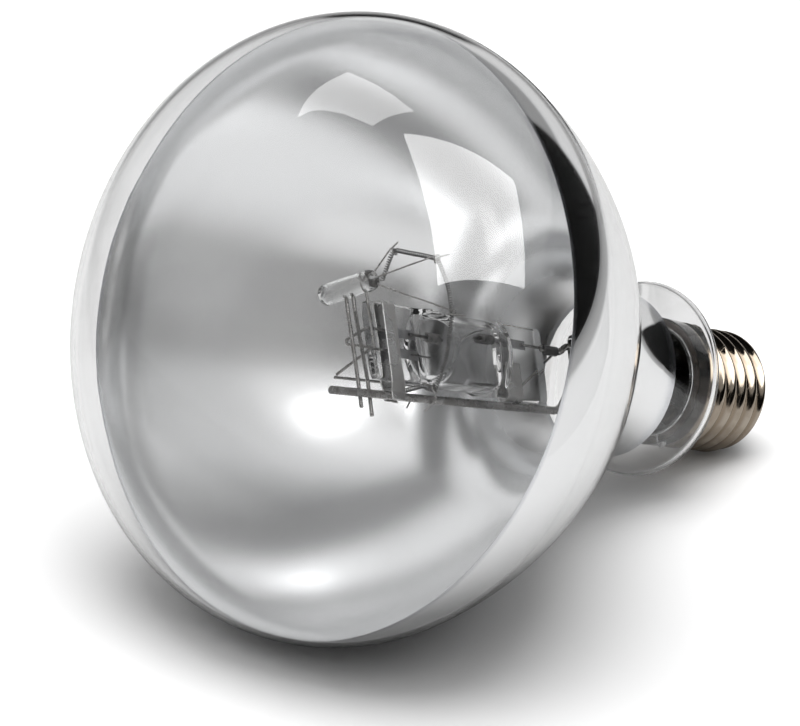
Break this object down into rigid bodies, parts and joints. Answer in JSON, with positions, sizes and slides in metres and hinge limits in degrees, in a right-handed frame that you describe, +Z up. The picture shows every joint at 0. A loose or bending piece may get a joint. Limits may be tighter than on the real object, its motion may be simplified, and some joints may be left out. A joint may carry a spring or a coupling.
{
  "type": "mercury vapor reptile bulb",
  "caption": "Reflector bulb with a clear domed face, mirrored bowl and screw cap, showing a quartz arc tube and ballast filament on a wire mount; heat, light and UV for a terrarium.",
  "frame": {"origin": "on the floor under the middle of the lying bulb's box", "axes": "+Z up, +Y from the bulb's face towards its cap along the floor, +X to the side; the lamp's axis lies in the YZ plane, tilted 23.3 degrees with the face raised"},
  "size_m": [0.127, 0.1648, 0.1214],
  "materials": {
    "clear_glass": "clear, smooth",
    "mirror_film": "vacuum-coated aluminium",
    "nickel_plate": "nickel-plated rolled sheet",
    "black_glass": "glossy cast glass",
    "contact_metal": "tinned",
    "solder": "dull tin solder",
    "cement": "matt basing cement",
    "stem_glass": "clear lead glass",
    "quartz": "clear fused quartz",
    "mercury": "liquid metal",
    "molybdenum": "dull foil",
    "tungsten": "grey drawn wire",
    "hook_wire": "grey drawn wire",
    "plated_wire": "nickel-plated wire",
    "strap_steel": "nickel-plated strip",
    "dark_ceramic": "dark, matt"
  },
  "bodies": {
    "root": {"envelope": "clear_glass", "mirror_coating": "mirror_film", "screw_shell": "nickel_plate", "insulator": "black_glass", "centre_contact": "contact_metal", "side_weld": "solder", "basing_cement": "cement", "stem": "stem_glass", "glass_bead": "stem_glass", "arc_tube": "quartz", "mercury_drops": "mercury", "front_main_foil": "molybdenum", "front_probe_foil": "molybdenum", "rear_main_foil": "molybdenum", "front_electrode": "tungsten", "rear_electrode": "tungsten", "starter_probe": "tungsten", "ballast_filament": "tungsten", "upper_hook_1": "hook_wire", "upper_hook_2": "hook_wire", "upper_hook_3": "hook_wire", "rail_hook": "hook_wire", "filament_feed": "hook_wire", "filament_return": "hook_wire", "main_rail": "plated_wire", "rear_lead": "plated_wire", "contact_lead": "plated_wire", "side_lead": "plated_wire", "front_main_lead": "plated_wire", "probe_lead": "plated_wire", "rear_tube_lead": "plated_wire", "starter_rail": "plated_wire", "resistor_lead": "plated_wire", "bead_leg_front": "plated_wire", "bead_leg_rear": "plated_wire", "bead_stay": "plated_wire", "front_strap": "strap_steel", "rear_strap": "strap_steel", "lead_sleeve": "dark_ceramic", "starting_resistor": "dark_ceramic"}
  },
  "joints": []
}
